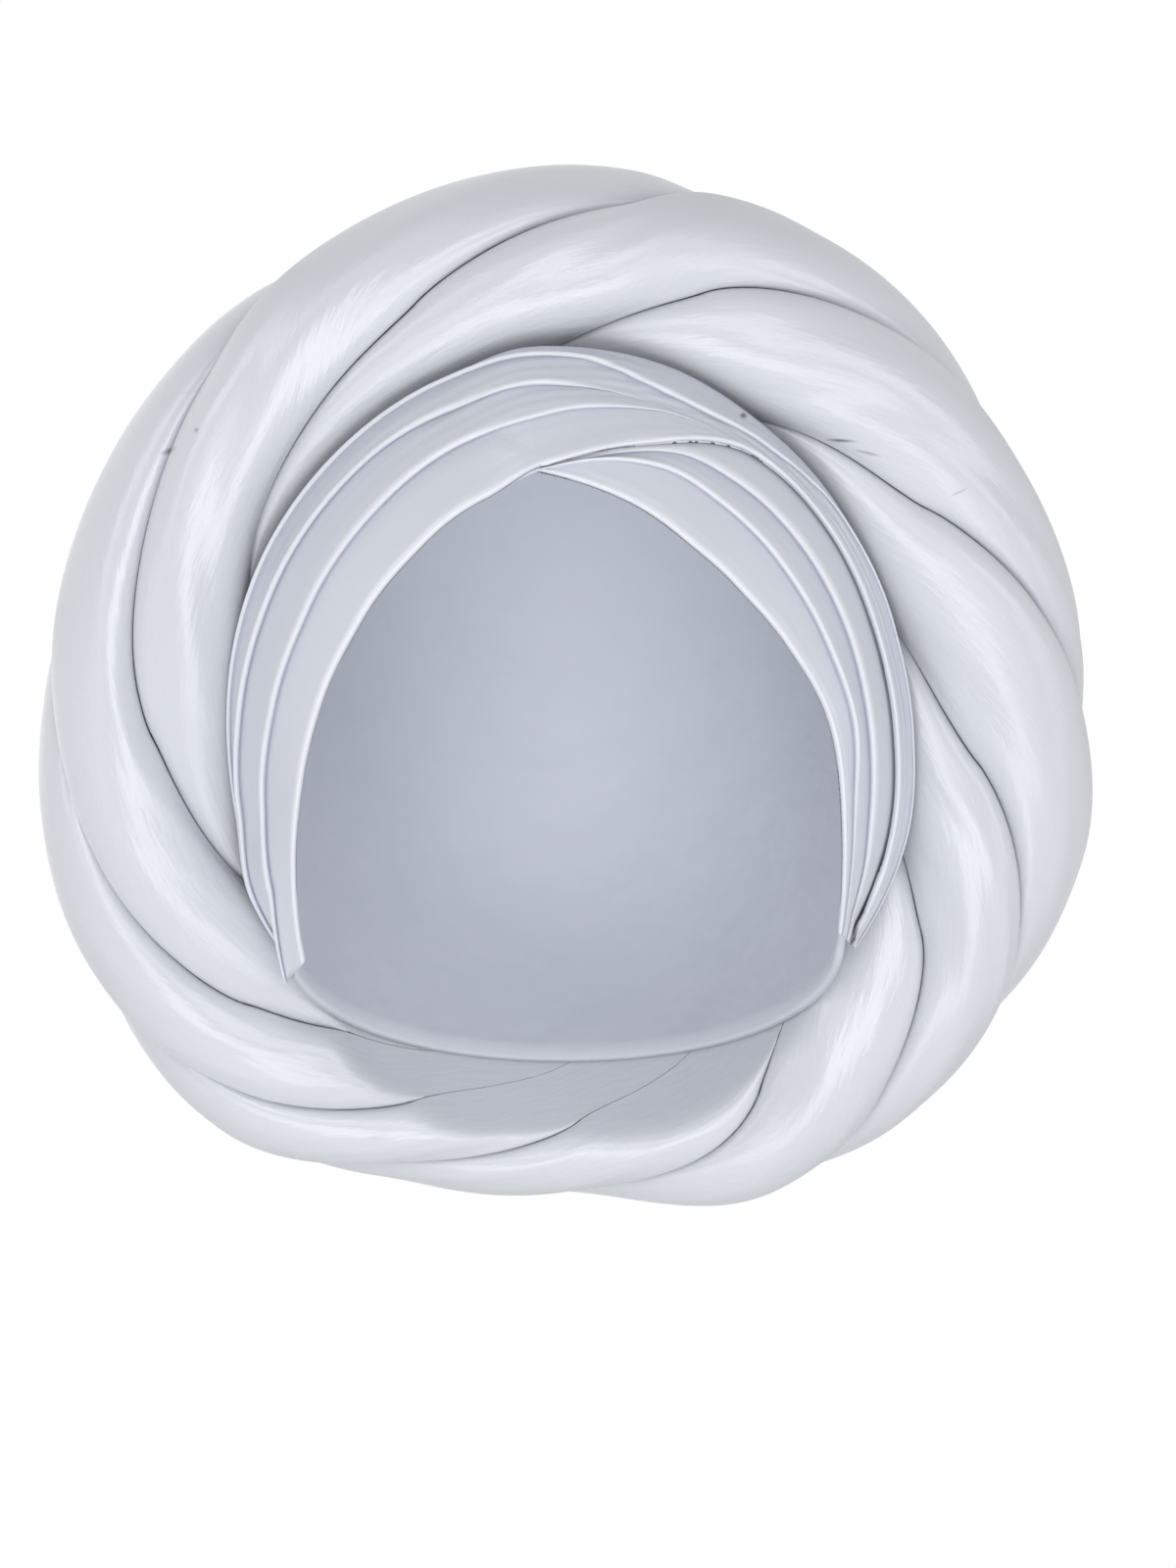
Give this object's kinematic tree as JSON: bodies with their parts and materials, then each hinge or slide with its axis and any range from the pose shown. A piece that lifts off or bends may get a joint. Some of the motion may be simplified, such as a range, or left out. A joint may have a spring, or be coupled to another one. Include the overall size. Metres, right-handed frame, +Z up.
{
  "type": "tied gele head tie",
  "caption": "Ready-tied head wrap: a pleated band crossed over the forehead inside a ring of twisted padded folds, on a plain crown cap.",
  "frame": {"origin": "head seat: the inside of the crown cap's highest point, where the top of the head bears", "axes": "+Z up as worn, the face opening towards -Y, +X to the right as seen from the front"},
  "size_m": [0.2821, 0.1836, 0.2773],
  "materials": {
    "satin_plain": "cool white satin, one layer thick, pressed into pleats",
    "satin_padded": "cool white satin over soft padding, with a soft sheen along the folds"
  },
  "bodies": {
    "root": {"crown_cap": "satin_plain", "front_band_under": "satin_plain", "front_band_over": "satin_plain", "padded_fold_01": "satin_padded", "padded_fold_02": "satin_padded", "padded_fold_03": "satin_padded", "padded_fold_04": "satin_padded", "padded_fold_05": "satin_padded", "padded_fold_06": "satin_padded", "padded_fold_07": "satin_padded", "padded_fold_08": "satin_padded", "padded_fold_09": "satin_padded", "padded_fold_10": "satin_padded"}
  },
  "joints": []
}
